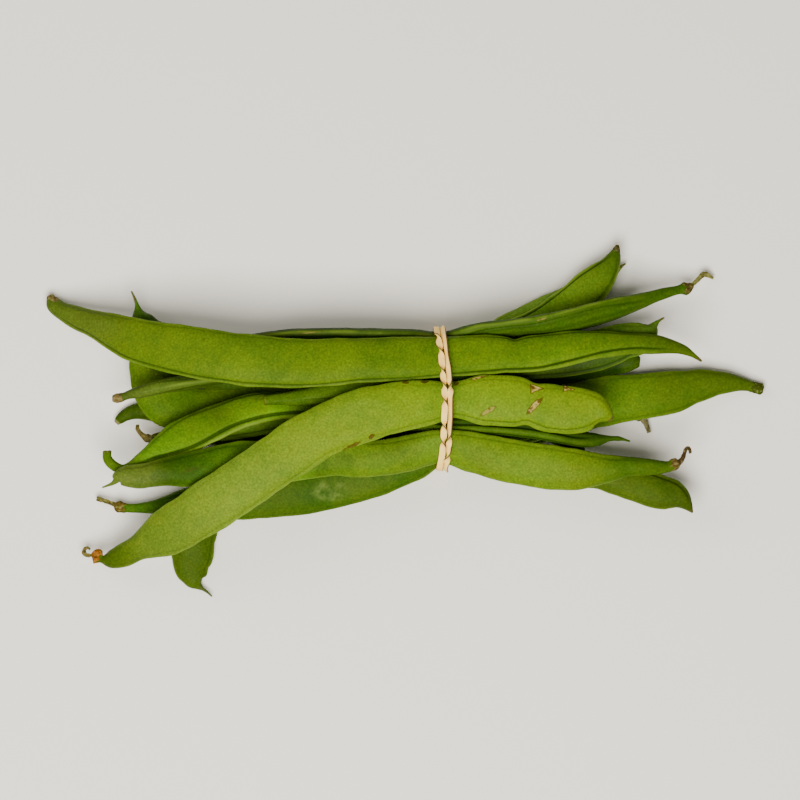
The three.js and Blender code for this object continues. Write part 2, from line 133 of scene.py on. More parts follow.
# The stage
FLOOR_DROP = 0.3 * MM
LENS, SENSOR = 600, 36  # mm: a long lens, as the photo has hardly any perspective
LAMP_COLOUR = (1, 0.95, 0.84)
ROOM_COLOUR, ROOM_STRENGTH = (1, 0.95, 0.83, 1), 0.2

# How each pod differs. Pairs of numbers are a share of its length and the value there.
# stalk: the side of the bunch that its stalk is on. roll: how the stalk end is rolled, in degrees.
# stem and cup: where the dried stem and the calyx end, in mm from the stalk end. stem_side: the
# side, as for seam, on which a slanting stem is longer. beak: the length of the browned tip, in mm.
# seam: the rim with the deep groove, 1 on the left of someone who walks from stalk to beak, -1 on
# the right, 0 where both rims are alike. inset and groove_width: how far that groove lies from the
# rim and how wide it is, in mm. ridged: seen from the edge, with ridges beside its rims.
# depth, tint and light: how deep the grooves and the painted shade in them are, how pale the rims,
# and the painted light and shade on the skin, above 1 lighter and below 1 darker, as shares of the
# usual. near and far: skin colour at the stalk and at the beak. neck and fade: how far from each of
# them, in mm, the skin has a colour of its own. spots: how strong its dark spots are. bloom:
# whether it has the pale bloom.
PODS = {
    "pod_floor": dict(
        slot="pod_deep", stalk="right", stem=5.5, cup=8.2, beak=1.6, seam=-1, tint=1.8,
        near=(52, 68, 3), far=(46, 66, 1), stem_colour=(117, 114, 78), cup_colour=(94, 94, 55),
        beak_colour=(123, 117, 75),
    ),
    "pod_swept": dict(
        slot="pod_fresh", stalk="right", cup=4.5, beak=9, seam=1, depth=0.4,
        light=((0.03, 0.78), (0.15, 1.05), (0.27, 2), (0.6, 1)), near=(62, 88, 0), far=(56, 78, 8),
        cup_colour=(52, 70, 12), beak_colour=(66, 74, 34),
    ),
    # pod_low_middle: its dark near colour is painted shade where it lies under the other pods, and
    # its lighter neck colour is painted light on its end
    "pod_low_middle": dict(
        slot="pod_deep", stalk="right", seam=1, depth=0.2, tint=0.1, near=(24, 47, 1),
        far=(70, 98, 0), neck=9, neck_colour=(44, 68, 4),
    ),
    "pod_low_back": dict(
        slot="pod_deep", stalk="left", stem=8.4, cup=13, beak=4, seam=-1, near=(87, 124, 25),
        far=(91, 123, 38), tint=((0.62, 1), (0.7, 3.6)), light=((0.23, 0.8), (0.8, 1.15)),
        stem_colour=(84, 78, 38), cup_colour=(64, 74, 20),
    ),
    "pod_back": dict(
        slot="pod_fresh", stalk="right", stem=2.5, beak=6, seam=-1, depth=((0.3, 1.8), (0.4, 0.15)),
        tint=((0.3, 3.4), (0.4, 0.2)),
        light=((0.04, 0.7), (0.12, 1.4), (0.4, 1), (0.93, 1.1), (0.97, 2.4)),
        near=(71, 99, 14), far=(40, 60, 10),
        stem_colour=(76, 78, 41),
    ),
    "pod_slim": dict(
        slot="pod_fresh", stalk="left", roll=-60, stem=3.6, seam=0, near=(58, 76, 20),
        far=(36, 56, 1), ridged=True, light=((0.03, 1), (0.09, 1.3), (0.2, 1.1)),
        stem_colour=(108, 96, 56),
    ),
    "pod_under_front": dict(
        slot="pod_fresh", stalk="left", stem=7.4, cup=11.4, beak=2, seam=1,
        light=((0.08, 1.4), (0.3, 1), (0.5, 1.2), (0.9, 0.95), (1, 0.65)), near=(42, 72, 2),
        far=(62, 83, 10), stem_colour=(88, 86, 40), cup_colour=(84, 74, 24), bloom=True,
    ),
    "pod_hooked": dict(
        slot="pod_fresh", stalk="left", stem=0.9, seam=-1, inset=((0.1, 1.7), (0.5, 1.2)),
        depth=2.2, groove_width=0.55, tint=((0.5, 1.8), (0.6, 0.3)),
        light=((0.02, 0.75), (0.1, 1.3), (0.25, 1.05), (0.37, 2.4), (0.7, 1.7)), spots=0.4,
        near=(72, 103, 0), far=(32, 53, 0), stem_colour=(70, 84, 22),
    ),
    "pod_short": dict(
        slot="pod_deep", stalk="left", roll=-10, stem=0.9, beak=3, seam=-1,
        light=((0.6, 1), (0.75, 0.35), (0.93, 0.85)), near=(54, 82, 0), far=(71, 100, 29),
        stem_colour=(84, 98, 20),
    ),
    "pod_back_edge": dict(
        slot="pod_fresh", stalk="right", stem=10.5, cup=14.2, seam=0, ridged=True,
        light=((0.12, 0.85), (0.45, 1.2), (0.55, 0.92), (0.69, 1.25), (0.8, 0.9)), near=(57, 87, 1),
        far=(39, 58, 20), stem_colour=(112, 112, 58), cup_colour=(86, 78, 34),
    ),
    "pod_front": dict(
        slot="pod_fresh", stalk="right", stem=9.2, cup=12, seam=-1, depth=0.3, fade=30,
        fade_colour=(74, 92, 28), neck=52, neck_colour=(58, 86, 0),
        light=(
            (0.2, 0.9), (0.35, 1.12), (0.5, 1.15), (0.62, 2.4), (0.8, 2.6), (0.88, 1.5), (0.93, 1),
        ),
        near=(90, 116, 12), far=(25, 47, 0), stem_colour=(66, 54, 30), cup_colour=(92, 80, 38),
    ),
    "pod_crest": dict(
        slot="pod_bright", stalk="left", stem=3.8, beak=3, seam=-1, stem_side=1,
        depth=((0.62, 1), (0.76, 1.9)),
        inset=((0.3, 0.9), (0.6, 0.5), (0.66, 0.7), (0.74, 0.9), (0.85, 1.3)),
        light=((0.08, 1), (0.2, 1.2), (0.36, 1.2), (0.45, 0.95), (0.8, 0.98), (0.95, 0.5)),
        neck=46, neck_colour=(67, 86, 20), near=(66, 88, 6), far=(80, 110, 0),
        stem_colour=(110, 100, 56),
    ),
    "pod_pale": dict(
        slot="pod_pale", stalk="left", stem=7.9, cup=11.9, beak=1.5, neck=34,
        neck_colour=(64, 86, 0), seam=-1, depth=((0.6, 0.3), (0.8, 0.75)),
        inset=((0.6, 1.2), (0.8, 1.6)), tint=((0.28, 1), (0.32, 2.2), (0.4, 2.2), (0.45, 1)),
        light=((0.1, 0.78), (0.3, 1.12), (0.6, 1.12), (0.73, 1.28), (0.9, 1.06)),
        near=(86, 108, 24), far=(86, 112, 8), stem_colour=(104, 98, 50), cup_colour=(146, 92, 20),
    ),
}

# Scars, and on pod_back one pale streak that is a painted highlight on a seam's edge: pod, middle x
# and y in mm, half sizes in mm, turn in degrees, corners from 0 round to 1 three-cornered, depth
# from
# 0 faint to 1 torn, and tan from 0 brown to 1 filled with dry cork
SCARS = (
    ("pod_pale", 49.0, 12.3, 1.3, 2.0, 272, 1.0, 1.0, 1.0),
    ("pod_pale", 61.4, 12.3, 0.9, 1.9, 266, 1.0, 0.8, 1.0),
    ("pod_pale", 48.9, 5.8, 4.3, 1.2, 46, 0.2, 0.9, 0.8),
    ("pod_pale", 31.3, 3.9, 3.8, 1.0, 30, 0.0, 0.5, 0.4),
    ("pod_pale", 0.1, 14.7, 1.4, 0.6, -6, 0.0, 0.9, 0.0),
    ("pod_pale", 7.2, 14.9, 1.5, 0.6, 6, 0.0, 0.9, 0.0),
    ("pod_pale", 19.2, 14.2, 1.2, 0.8, 10, 0.0, 0.9, 0.0),
    ("pod_pale", 28.0, 16.5, 3.8, 0.5, 13, 0.0, 0.7, 0.7),
    ("pod_pale", -20.5, -9.6, 3.9, 0.6, 26, 0.0, 1.0, 0.1),
    ("pod_pale", -12.8, -5.8, 1.5, 0.7, 40, 0.0, 1.0, 0.1),
    ("pod_slim", -90.2, 17.0, 2.4, 0.6, 12, 0.0, 0.6, 0.2),
    # a painted highlight: a pale streak where a seam's edge catches the light
    ("pod_back", -96.6, 18.8, 4.6, 0.5, -35, 0.0, 0.2, 1.0),
    ("pod_front", -81.8, -18.6, 3.0, 0.5, 20, 0.0, 0.1, 0.0),
    ("pod_back_edge", -35.8, 33.6, 5.0, 0.35, 4, 0.0, 0.4, 0.3),
    ("pod_back_edge", 8.7, 32.9, 2.6, 0.35, 0, 0.0, 0.6, 0.6),
    ("pod_back_edge", 51.6, 38.6, 2.4, 0.3, 18, 0.0, 0.3, 0.4),
    ("pod_crest", -76.3, 31.0, 0.7, 0.4, 60, 0.0, 0.4, 0.0),
)


# ---- Settings that a user would change


class BeanPodSettings(bpy.types.PropertyGroup):
    smoothing: bpy.props.IntProperty(
        name="Smoothing", description="Subdivision levels of each pod", default=2, min=1, max=3
    )
    groove_depth: bpy.props.FloatProperty(
        name="Groove depth", description="Depth of the groove inside the main seam",
        default=0.34 * MM, unit="LENGTH", precision=5,
    )
    rim_height: bpy.props.FloatProperty(
        name="Rim height", description="How far the seam's cord stands out",
        default=0.16 * MM, unit="LENGTH", precision=5,
    )
    seed_spacing: bpy.props.FloatProperty(
        name="Seed spacing", description="Distance from one seed to the next",
        default=19 * MM, unit="LENGTH",
    )
    seed_rise: bpy.props.FloatProperty(
        name="Seed rise", description="How far a seed lifts the pod's wall",
        default=0.18 * MM, unit="LENGTH", precision=5,
    )
    crown: bpy.props.FloatProperty(
        name="Crown", description="How far the upper face swells between the seams",
        default=0.3 * MM, unit="LENGTH", precision=5,
    )
    rim_tint: bpy.props.FloatVectorProperty(
        name="Rim colour", description="Pale line along a seam's edge", subtype="COLOR",
        default=(0.14, 0.22, 0.02), min=0, max=1,
    )


class RubberBandSettings(bpy.types.PropertyGroup):
    width: bpy.props.FloatProperty(
        name="Width", description="Width of the flat strand", default=2.6 * MM, unit="LENGTH"
    )
    thickness: bpy.props.FloatProperty(
        name="Thickness", description="Thickness of the flat strand", default=0.8 * MM,
        unit="LENGTH",
    )
    spread: bpy.props.FloatProperty(
        name="Spread", description="Distance of each strand's middle from the band's middle",
        default=1.1 * MM, unit="LENGTH",
    )
    colour: bpy.props.FloatVectorProperty(
        name="Colour", description="Natural rubber", subtype="COLOR", default=(1, 0.6, 0.15),
        min=0, max=1,
    )


class BeanStudioSettings(bpy.types.PropertyGroup):
    view_width: bpy.props.FloatProperty(
        name="View width", description="Width that the camera takes in", default=304 * MM,
        unit="LENGTH",
    )
    view_middle: bpy.props.FloatVectorProperty(
        name="View middle", description="What the camera looks at", size=3, subtype="TRANSLATION",
        default=(-2.06 * MM, 8 * MM, 18 * MM),
    )
    floor_colour: bpy.props.FloatVectorProperty(
        name="Floor colour", description="Plain pale table", subtype="COLOR",
        default=(0.85, 0.84, 0.81), min=0, max=1,
    )
    lamp_power: bpy.props.FloatProperty(
        name="Lamp power", description="Power of the large overhead lamp", default=36, unit="POWER"
    )


# ---- Helpers for shapes


def srgb(*channels):
    """A screen colour, 0 to 255, as linear light."""
    shares = [channel / 255 for channel in channels]
    return tuple(s / 12.92 if s <= 0.04045 else ((s + 0.055) / 1.055) ** 2.4 for s in shares)


def smooth(low, high, values):
    """0 below low, 1 above high, and a soft step between."""
    t = np.clip((values - low) / (high - low), 0, 1)
    return t * t * (3 - 2 * t)


def hump(values, middle, width):
    return np.exp(-(((values - middle) / width) ** 2))


def varied(setting, share):
    """A single value, or one that changes along the pod, from pairs of share and value."""
    if isinstance(setting, tuple):
        return np.interp(share, *zip(*setting))
    return setting


def ripple(values, wavelength, chance):
    """An uneven wave along a length, from four sines."""
    total = np.zeros_like(values)
    for part in range(4):
        length = wavelength * (0.6 + 0.35 * part) * chance.uniform(0.85, 1.15)
        start = chance.uniform(0, 6.28)
        total += math.sqrt(part + 1) * np.sin(2 * math.pi * values / length + start)
    return total / 4


def deselect():
    for item in bpy.context.selected_objects:
        item.select_set(False)


def make_active(piece):
    deselect()
    piece.select_set(True)
    bpy.context.view_layer.objects.active = piece


def new_piece(name, verts, faces):
    mesh = bpy.data.meshes.new(name)
    mesh.from_pydata([tuple(v) for v in verts], [], faces)
    mesh.update()
    piece = bpy.data.objects.new(name, mesh)
    bpy.context.scene.collection.objects.link(piece)
    make_active(piece)
    return piece


def merged_solid(node):
    """The node's solid as one joined mesh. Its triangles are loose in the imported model."""
    solid = bmesh.new()
    solid.from_mesh(frame["nodes"][node].data)
    bmesh.ops.remove_doubles(solid, verts=solid.verts, dist=2e-6)
    solid.verts.index_update()
    return solid


def around(vert):
    return {edge.other_vert(vert) for edge in vert.link_edges}


def pod_rings(node, look):
    """The rings of a pod's solid, each from its left seam over the top, and its two ends."""
    solid = merged_solid(node)
    poles = [v for v in solid.verts if len(v.link_edges) == RING_SIDES]
    if len(poles) != 2:
        raise RuntimeError(f"{node}: its solid doesn't end in two caps")
    poles.sort(key=lambda v: v.co.x, reverse=look["stalk"] == "right")
    start, end = poles
    first = list(around(start))
    centre = sum((v.co for v in first), Vector()) / RING_SIDES
    beyond = {w for v in first for w in around(v)} - set(first) - {start}
    ahead = (sum((v.co for v in beyond), Vector()) / len(beyond) - centre).normalized()
    left = Vector((-ahead.y, ahead.x, 0)).normalized()
    roll = math.radians(look.get("roll", 0))
    seam_way = left * math.cos(roll) + Vector((0, 0, math.sin(roll)))
    face_way = Vector((0, 0, math.cos(roll))) - left * math.sin(roll)
    ring = [max(first, key=lambda v: (v.co - centre).dot(seam_way))]
    sides = [v for v in first if v in around(ring[0])]
    ring.append(max(sides, key=lambda v: (v.co - centre).dot(face_way)))
    while len(ring) < RING_SIDES:
        ring += [v for v in first if v in around(ring[-1]) and v not in ring][:1]
    rings = [ring]
    seen = set(ring) | {start, end}
    while True:
        ahead_of = [around(ring[k]) & around(ring[k - 1]) - seen for k in range(RING_SIDES)]
        if not all(ahead_of):
            break
        ring = [found.pop() for found in ahead_of]
        rings.append(ring)
        seen.update(ring)
    if len(seen) != len(solid.verts):
        raise RuntimeError(f"{node}: {len(seen)} of {len(solid.verts)} points are in its rings")
    places = np.array([[v.co[:] for v in ring] for ring in rings])
    ends = (np.array(start.co), np.array(end.co))
    solid.free()
    return places, ends


def store(mesh, name, values):
    layer = mesh.attributes.new(name, "FLOAT", "POINT")
    layer.data.foreach_set("value", np.asarray(values, np.float32))


def read(mesh, name):
    values = np.zeros(len(mesh.vertices), np.float32)
    mesh.attributes[name].data.foreach_get("value", values)
    return values.astype(float)


def vectors_of(items, name):
    values = np.zeros(len(items) * 3, np.float32)
    items.foreach_get(name, values)
    return values.reshape(-1, 3).astype(float)


def apply_subdivision(piece, levels):
    """Smooths the cage. It is made larger first, so that smoothing brings its points back."""
    modifier = piece.modifiers.new("Smooth", "SUBSURF")
    modifier.levels = levels
    modifier.render_levels = levels
    wanted = vectors_of(piece.data.vertices, "co")
    cage = wanted.copy()
    for _ in range(FIT_ROUNDS):
        view = piece.evaluated_get(bpy.context.evaluated_depsgraph_get())
        reached = vectors_of(view.data.vertices, "co")[:len(wanted)]
        cage += FIT_STEP * (wanted - reached)
        piece.data.vertices.foreach_set("co", cage.ravel())
        piece.data.update()
        bpy.context.view_layer.update()
    make_active(piece)
    bpy.ops.object.modifier_apply(modifier=modifier.name)


def fine_section():
    """The outline of a pod's section, as shares of its half width and half thickness."""
    spread = [*COLUMNS, *(-u for u in reversed(COLUMNS))]
    upper = [(u, (1 - abs(u) ** 3) ** 0.65) for u in spread]
    return np.array([(1, 0), *upper, (-1, 0), *((-u, -v) for u, v in upper)])


def fine_rings(coarse):
    """The rings drawn again with more points, and the half width of each."""
    seams = coarse[:, SEAM_POINTS]
    middle, reach = seams.mean(axis=1), (seams[:, 0] - seams[:, 1]) / 2
    upper = (coarse[:, UPPER_POINTS].mean(axis=1) - middle) / WALL_SHARE
    lower = (middle - coarse[:, LOWER_POINTS].mean(axis=1)) / WALL_SHARE
    rings = np.stack(
        [middle + u * reach + v * (upper if v > 0 else lower) for u, v in fine_section()], axis=1
    )
    return rings, np.linalg.norm(reach, axis=1)


def pod_cage(node, look):
    """The pod's rings as a mesh that knows how far along and across the pod each point is."""
    coarse, ends = pod_rings(node, look)
    rings, halves = fine_rings(coarse)
    count, sides = rings.shape[:2]
    steps = np.linalg.norm(np.diff(coarse.mean(axis=1), axis=0), axis=1)
    lengths = np.concatenate([[0], np.cumsum(steps)])
    faces = []
    for i in range(count - 1):
        for k in range(sides):
            after = (k + 1) % sides
            here, there = i * sides, (i + 1) * sides
            faces.append((here + k, here + after, there + after, there + k))
    pole = count * sides
    last = (count - 1) * sides
    for k in range(sides):
        after = (k + 1) % sides
        faces.append((pole, after, k))
        faces.append((pole + 1, last + k, last + after))
    piece = new_piece(node.replace("pod_", "bean_"), [*rings.reshape(-1, 3), *ends], faces)
    across, side = fine_section().T
    for name, values in (("along", lengths), ("half", halves)):
        store(piece.data, name, np.append(np.repeat(values, sides), values[[0, -1]]))
    for name, values in (("across", across), ("side", side)):
        store(piece.data, name, np.append(np.tile(values, count), [0, 0]))
    crease = piece.data.attributes.new("crease_edge", "FLOAT", "EDGE")
    for edge in piece.data.edges:
        rows = {v // sides for v in edge.vertices}
        if rows == {0} or rows == {count - 1}:
            crease.data[edge.index].value = END_CREASE
    return piece, lengths[-1]


def turn_outward(piece):
    shape = bmesh.new()
    shape.from_mesh(piece.data)
    if shape.calc_volume(signed=True) < 0:
        bmesh.ops.reverse_faces(shape, faces=shape.faces)
    shape.to_mesh(piece.data)
    shape.free()


class Wall:
    """A pod's wall: where on the pod each of its points lies."""

    def __init__(self, mesh, length):
        self.along, self.half = read(mesh, "along"), read(mesh, "half")
        self.across, self.side = read(mesh, "across"), read(mesh, "side")
        self.place = vectors_of(mesh.vertices, "co")
        self.normal = vectors_of(mesh.vertex_normals, "vector")
        self.length = length
        self.share = self.along / length
        self.edge = (1 - np.abs(self.across)) * self.half
        self.turn = np.arctan2(self.side, self.across)
        self.body = smooth(SLENDER, BROAD, self.half)


def seams_of(wall, look, chance):
    """How far each point belongs to the main seam, and how deep it lies in a seam's groove."""
    seam = look["seam"]
    main = np.where(wall.across * seam > 0, 1.0, 0.0 if seam else 0.6)
    inset = varied(look.get("inset", GROOVE_INSET), wall.share)
    inset = inset + INSET_SWAY * ripple(wall.along, 30 * MM, chance)
    groove = hump(wall.edge, inset * MM, look.get("groove_width", GROOVE_WIDTH) * MM)
    return main, groove * varied(look.get("depth", 1), wall.share)


def seed_swells(wall, look, settings, chance):
    """The swellings over the seeds, from behind the stalk to before the beak."""
    rise = np.zeros_like(wall.along)
    spacing = settings.seed_spacing
    at = chance.uniform(0.8, 1.4) * spacing + max(look.get("stem", 0), look.get("cup", 0)) * MM
    while at < wall.length - 0.8 * spacing:
        across = 0.12 * look["seam"] + chance.uniform(-0.12, 0.12)
        swell = hump(wall.along, at, chance.uniform(5, 7) * MM) * hump(wall.across, across, 0.42)
        rise += settings.seed_rise * chance.uniform(0.5, 1.1) * swell
        at += spacing * chance.uniform(0.85, 1.25)
    return rise


def body_relief(wall, main, groove, look, settings, chance):
    """How far the seams, crown, ridges, seeds and waves lift the skin."""
    weak = 1 - main
    rise = settings.rim_height * hump(wall.edge, 0, RIM_WIDTH) * (main + WEAK_RIM * weak)
    rise -= settings.groove_depth * groove * (main + WEAK_GROOVE * weak)
    crown = np.clip(1 - (wall.across / CROWN_REACH) ** 2, 0, 1) * (wall.side > 0)
    rise += settings.crown * crown * (1 - hump(wall.place[:, 0], WAIST_X, WAIST_REACH))
    if look.get("ridged"):
        ridges = np.cos(np.clip(wall.edge / RIDGE_SPACING, 0, 12))
        rise += RIDGE_HEIGHT * ridges * hump(wall.edge, 1.6 * MM, 2.2 * MM)
    rise += seed_swells(wall, look, settings, chance)
    waves = ripple(wall.along + 9 * MM * wall.across, WAVE_LENGTH, chance)
    rise += WAVE_HEIGHT * waves * (1 - np.abs(wall.across) ** 4)
    rise += PUCKER_HEIGHT * ripple(wall.along - 5 * MM * wall.across, PUCKER_LENGTH, chance)
    return rise * wall.body


def before(end, blur, along):
    """1 before a place along the pod, 0 after it, and a soft step there."""
    return 1 - smooth(end - blur, end + blur, along)


def dried_parts(wall, look, chance):
    """Which points are on the dried stem, the calyx and the beak, and how far these are lifted."""
    stem, cup, beak = (look.get(part, 0) * MM for part in ("stem", "cup", "beak"))
    along, none = wall.along, np.zeros_like(wall.along)
    lobes = 0.5 + 0.5 * np.cos(CALYX_LOBES * wall.turn + chance.uniform(0, 6))
    short = none
    if look.get("stem_side"):
        short = STEM_SLANT * (1 - smooth(-0.4, 0.4, wall.across * look["stem_side"]))
    in_stem = before(stem, 0.4 * MM, along + short) if stem else none
    cup_end = cup + LOBE_LENGTH * (lobes - 0.5)
    in_cup = before(cup_end, 0.25 * MM, along) * (1 - in_stem) if cup else none
    in_beak = smooth(wall.length - beak, wall.length - 0.35 * beak, along) if beak else none
    lift = CALYX_HEIGHT * in_cup * (0.6 + 0.5 * lobes)
    if cup:
        lift -= NECKING_DEPTH * hump(along, stem, 0.6 * MM)
    wrinkles = ripple(wall.turn * MM, 1.3 * MM, chance) + 0.6 * ripple(along, 1.6 * MM, chance)
    lift += WRINKLE_HEIGHT * wrinkles * np.clip(in_stem + in_cup, 0, 1)
    return {"stem": in_stem, "cup": in_cup, "beak": in_beak}, lift


def shape_pod(piece, length, look, settings, chance):
    """Raises the seams, seeds, ridges and dried parts, and stores where they are for the skin."""
    mesh = piece.data
    wall = Wall(mesh, length)
    main, groove = seams_of(wall, look, chance)
    rise = body_relief(wall, main, groove, look, settings, chance)
    parts, lift = dried_parts(wall, look, chance)
    at_seam = smooth(0.8, 1, np.abs(wall.across)) * wall.body
    sway = SEAM_SWAY * ripple(wall.along, SWAY_LENGTH, chance) * at_seam
    place = wall.place + wall.normal * (rise + lift + sway)[:, None]
    mesh.vertices.foreach_set("co", np.clip(place, *CAD_BOX).ravel())
    mesh.update()
    ribs = 0.5 + 0.5 * np.cos(RIB_COUNT * wall.turn + 1.2 * ripple(wall.along, 40 * MM, chance))
    none = np.zeros_like(wall.along)
    fade, neck = look.get("fade", 0) * MM, look.get("neck", 0) * MM
    masks = {
        # groove: where painted shade darkens the seam's groove, beside the carved groove
        "groove": groove * wall.body * (main + WEAK_GROOVE * (1 - main)),
        "rim": hump(wall.edge, 0, RIM_LINE) * wall.body * varied(look.get("tint", 1), wall.share),
        "ribs": ribs * wall.body if look.get("ridged") else none,
        "share": wall.share,
        # light: painted light and shade, a factor on the skin's brightness along the pod
        "light": none + varied(look.get("light", 1), wall.share),
        "fade": smooth(length - fade, length - 0.4 * fade, wall.along) if fade else none,
        "neck": 1 - smooth(0.5 * neck, neck, wall.along) if neck else none,
        **parts,
    }
    for name, values in masks.items():
        store(mesh, name, values)


def band_centres():
    """The middles of the rings of the band's solid, in order round both turns."""
    solid = merged_solid("rubber_band")
    left = set(solid.verts)
    groups = []
    while left:
        ring = {min(left, key=lambda v: v.index)}
        grown = True
        while grown:
            short = {edge for v in ring for edge in v.link_edges if edge.calc_length() < RING_EDGE}
            near = {v for edge in short for v in edge.verts}
            grown = bool(near - ring)
            ring |= near
        left -= ring
        groups.append(ring)
    owner = {v: n for n, ring in enumerate(groups) for v in ring}
    beside = [
        {owner[w] for v in ring for w in around(v)} - {n} for n, ring in enumerate(groups)
    ]
    if any(len(near) != 2 for near in beside):
        raise RuntimeError("rubber_band: its rings don't follow one another")
    order = [0, min(beside[0])]
    while len(order) < len(groups):
        order.append((beside[order[-1]] - {order[-2]}).pop())
    rings = (sorted(groups[n], key=lambda v: v.index) for n in order)
    centres = np.array([sum((v.co for v in ring), Vector()) / len(ring) for ring in rings])
    solid.free()
    return centres


def closed_curve(points, count):
    """Evenly numbered places on a smooth closed curve through the points."""
    total = len(points)
    at = np.arange(count) * total / count
    k = np.floor(at).astype(int)
    t = (at - k)[:, None]
    p0, p1, p2, p3 = (points[(k + step) % total] for step in (-1, 0, 1, 2))
    return 0.5 * (
        2 * p1 + (p2 - p0) * t + (2 * p0 - 5 * p1 + 4 * p2 - p3) * t**2
        + (3 * p1 - p0 - 3 * p2 + p3) * t**3
    )


# Where each strand turns over, as the distance across the bunch in mm, on top and underneath
LEFT_TURNS = ((32.5, 27.2, 19.6, 13.7, 7.6, -1.5, -8.3), (-12, -4, 6, 24))
RIGHT_TURNS = ((12.2, -7.4, -14.2), (-9,))


def band_turns(path, tops, unders, width):
    """How far round its own length a strand has turned at each place on the path, in half turns."""
    middle = path[:, 2].mean()
    steps = np.linalg.norm(path - np.roll(path, 1, axis=0), axis=1)
    run = np.cumsum(steps)
    loop = run[-1]
    turned = np.zeros(len(path))
    for ys, on_top in ((tops, True), (unders, False)):
        for y in ys:
            allowed = (path[:, 2] > middle) == on_top
            gap = np.where(allowed, np.abs(path[:, 1] - y * MM), 1e9)
            where = run[int(np.argmin(gap))]
            turned += smooth(where - width, where + width, run)
            turned += smooth(where - width, where + width, run + loop) - 1
    return turned


def band_course():
    """One turn of the band from its lowest place, and the ways outward and sideways along it."""
    centres = band_centres()
    half = len(centres) // 2
    loop = closed_curve((centres[:half] + centres[half:]) / 2, BAND_STEPS)
    middle = np.array([0, loop[:, 1].mean(), loop[:, 2].mean()])
    if np.cross(loop[0] - middle, loop[1] - middle)[0] < 0:
        loop = loop[::-1]
    start = int(np.argmin(loop[:, 2] + 0.4 * np.abs(loop[:, 1] - middle[1])))
    loop = np.roll(loop, -start, axis=0)
    ahead = np.roll(loop, -3, axis=0) - np.roll(loop, 3, axis=0)
    ahead /= np.linalg.norm(ahead, axis=1)[:, None]
    sideways = np.tile([1.0, 0, 0], (BAND_STEPS, 1))
    outward = np.cross(ahead, sideways)
    outward /= np.linalg.norm(outward, axis=1)[:, None]
    return loop, outward, np.cross(outward, ahead)


def strand_profile():
    """The outline of a flat strand, as shares of its half width and half thickness."""
    outline = []
    for step in range(STRAND_SIDES):
        turn = 2 * math.pi * step / STRAND_SIDES
        c, s = math.cos(turn), math.sin(turn)
        outline.append((math.copysign(abs(c) ** 0.45, c), math.copysign(abs(s) ** 0.7, s)))
    return outline


def strand_faces(count, turned_over):
    """The faces between a closed row of rings. The last ring may meet the first one turned over."""
    faces = []
    for i in range(count):
        here, there = i * STRAND_SIDES, ((i + 1) % count) * STRAND_SIDES
        shift = STRAND_SIDES // 2 if turned_over and i == count - 1 else 0
        for k in range(STRAND_SIDES):
            after = (k + 1) % STRAND_SIDES
            far, near = (after + shift) % STRAND_SIDES, (k + shift) % STRAND_SIDES
            faces.append((here + k, here + after, there + far, there + near))
    return faces


def build_band(settings):
    """The band: one flat strand that runs round twice, its two turns twisted side by side."""
    loop, outward, sideways = band_course()
    turns_left = band_turns(loop, *LEFT_TURNS, LEFT_REACH)
    turns_right = band_turns(loop, *RIGHT_TURNS, RIGHT_REACH)
    turned = np.concatenate([turns_left, turns_left[-1] - turns_right])
    path, out, aside = (np.concatenate([half, half]) for half in (loop, outward, sideways))
    place = np.linspace(0, 1, len(path), endpoint=False)
    crossing = 1 + smooth(0.5 - CROSSING, 0.5 + CROSSING, place)
    crossing -= smooth(1 - CROSSING, 1 + CROSSING, place) + smooth(-CROSSING, CROSSING, place)
    strand = 2 * crossing - 1  # from -1 on the left to 1 on the right
    over, under, again = (hump(place, at, LIFT_REACH) for at in (0.5, 0, 1))
    lift = CROSSING_LIFT * (over - under - again)

    chance = random.Random(41)
    angle = 0.16 * ripple(place, 0.06, chance) - math.pi * turned
    on_edge = np.sin(angle) ** 2
    wide = settings.width * (0.5 + 0.03 * ripple(place, 0.043, chance)) * (1 - 0.15 * on_edge)
    thick = settings.thickness / 2 * (1 + 0.15 * on_edge)
    slack = 0.14 * MM * ripple(place, 0.05, chance) * smooth(0.2, 0.8, np.abs(strand))
    slack += 0.1 * MM * on_edge
    sideward = (settings.spread * strand + slack)[:, None]
    middles = path + aside * sideward + out * (lift - BEDDING)[:, None]

    cos, sin = np.cos(angle)[:, None], np.sin(angle)[:, None]
    flat, stand = aside * cos + out * sin, out * cos - aside * sin
    profile = np.array(strand_profile())
    across = profile[None, :, :1] * (flat * wide[:, None])[:, None]
    through = profile[None, :, 1:] * (stand * thick[:, None])[:, None]
    verts = (middles[:, None] + across + through).reshape(-1, 3)
    lowest, highest = (corner.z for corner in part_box("rubber_band"))
    verts[:, 2] = np.clip(verts[:, 2], lowest, highest)
    faces = strand_faces(len(path), round(turned[-1]) % 2 == 1)
    piece = new_piece("band_twisted", verts, faces)
    store(piece.data, "streak", np.tile(profile[:, 0], len(path)))
    store(piece.data, "share", np.repeat(place, STRAND_SIDES))
    turn_outward(piece)
    return piece


# ---- Helpers for materials


